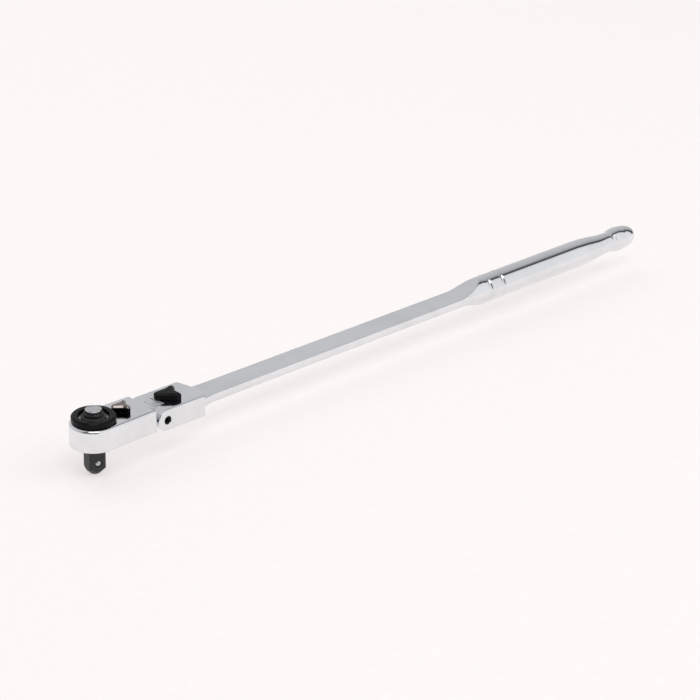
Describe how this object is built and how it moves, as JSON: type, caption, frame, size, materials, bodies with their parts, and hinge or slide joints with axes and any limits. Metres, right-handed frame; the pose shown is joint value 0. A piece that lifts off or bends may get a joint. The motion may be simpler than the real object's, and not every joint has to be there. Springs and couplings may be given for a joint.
{
  "type": "ratchet wrench",
  "caption": "Long-handled reversible socket ratchet with a locking flex head, a thumb ring, a reversing lever and a quick-release drive square.",
  "frame": {"origin": "on the drive axis, at the shoulder that a socket seats against", "axes": "+X along the handle towards the end of the grip; +Z along the drive axis towards the release button; the drive square points along -Z"},
  "size_m": [0.6049, 0.036, 0.05],
  "materials": {
    "chrome": "bright chrome plate over forged alloy steel",
    "black_ring": "smooth black e-coat on the thumb ring",
    "black_phosphate": "dark phosphate on hardened steel",
    "lever_nickel": "dark nickel plate",
    "lock_black": "satin black coated steel",
    "bright_steel": "ground and polished steel",
    "spring_steel": "spring steel, oiled",
    "seal_rubber": "black nitrile rubber",
    "collar_polymer": "black nylon bush"
  },
  "bodies": {
    "handle": {"handle": "chrome", "pivot_screw": "black_phosphate", "lock_spring": "spring_steel"},
    "lock_slide": {"lock_pawl": "black_phosphate"},
    "lock_lever": {"lock_lever": "lock_black"},
    "head": {"head": "chrome", "cover_plate": "black_phosphate", "cover_circlip": "spring_steel", "pawl_pin": "bright_steel", "lever_seal": "seal_rubber"},
    "pawl": {"pawl": "black_phosphate"},
    "lever": {"reverse_lever": "lever_nickel", "lever_clip": "spring_steel", "lever_plunger": "bright_steel", "lever_spring": "spring_steel"},
    "drive": {"drive_gear": "black_phosphate", "thumb_ring": "black_ring", "ring_clip": "spring_steel", "button_collar": "collar_polymer", "release_spring": "spring_steel"},
    "release": {"release_cap": "bright_steel", "release_rod": "bright_steel"},
    "ball": {"detent_ball": "bright_steel"}
  },
  "joints": [
    {"name": "flex", "type": "hinge", "parent": "handle", "child": "head", "pos_m": [0.0545, 0, 0.0112], "axis": [0, 1, 0], "range_deg": [-90, 60]},
    {"name": "lock_turn", "type": "hinge", "parent": "handle", "child": "lock_lever", "pos_m": [0.068, 0, 0.0195], "axis": [0, 0, 1], "range_deg": [0, 36]},
    {"name": "lock_draw", "type": "slide", "parent": "handle", "child": "lock_slide", "axis": [-1, 0, 0], "range_m": [0, 0.00211]},
    {"name": "reverse", "type": "hinge", "parent": "head", "child": "lever", "pos_m": [0.025, 0, 0.0225], "axis": [0, 0, 1], "range_deg": [0, 40]},
    {"name": "pawl_rock", "type": "hinge", "parent": "head", "child": "pawl", "pos_m": [0.0176, 0, 0.013], "axis": [0, 0, 1], "range_deg": [-8.01, 0]},
    {"name": "drive_spin", "type": "hinge", "parent": "head", "child": "drive", "pos_m": [0, 0, 0.011], "axis": [0, 0, 1], "continuous": true},
    {"name": "release_push", "type": "slide", "parent": "drive", "child": "release", "axis": [0, 0, -1], "range_m": [0, 0.0022], "stiffness_N_per_m": 1500, "springref_m": -0.001, "deforming": ["release_spring"]},
    {"name": "ball_draw", "type": "slide", "parent": "drive", "child": "ball", "axis": [0.2588, 0.9659, 0], "range_m": [0, 0.000901]}
  ],
  "couplings": [
    {"joint": "lock_draw", "follows": "lock_turn", "m_per_rad": 0.003342},
    {"joint": "pawl_rock", "follows": "reverse", "ratio": -0.2},
    {"joint": "ball_draw", "follows": "release_push", "ratio": 0.4091}
  ]
}
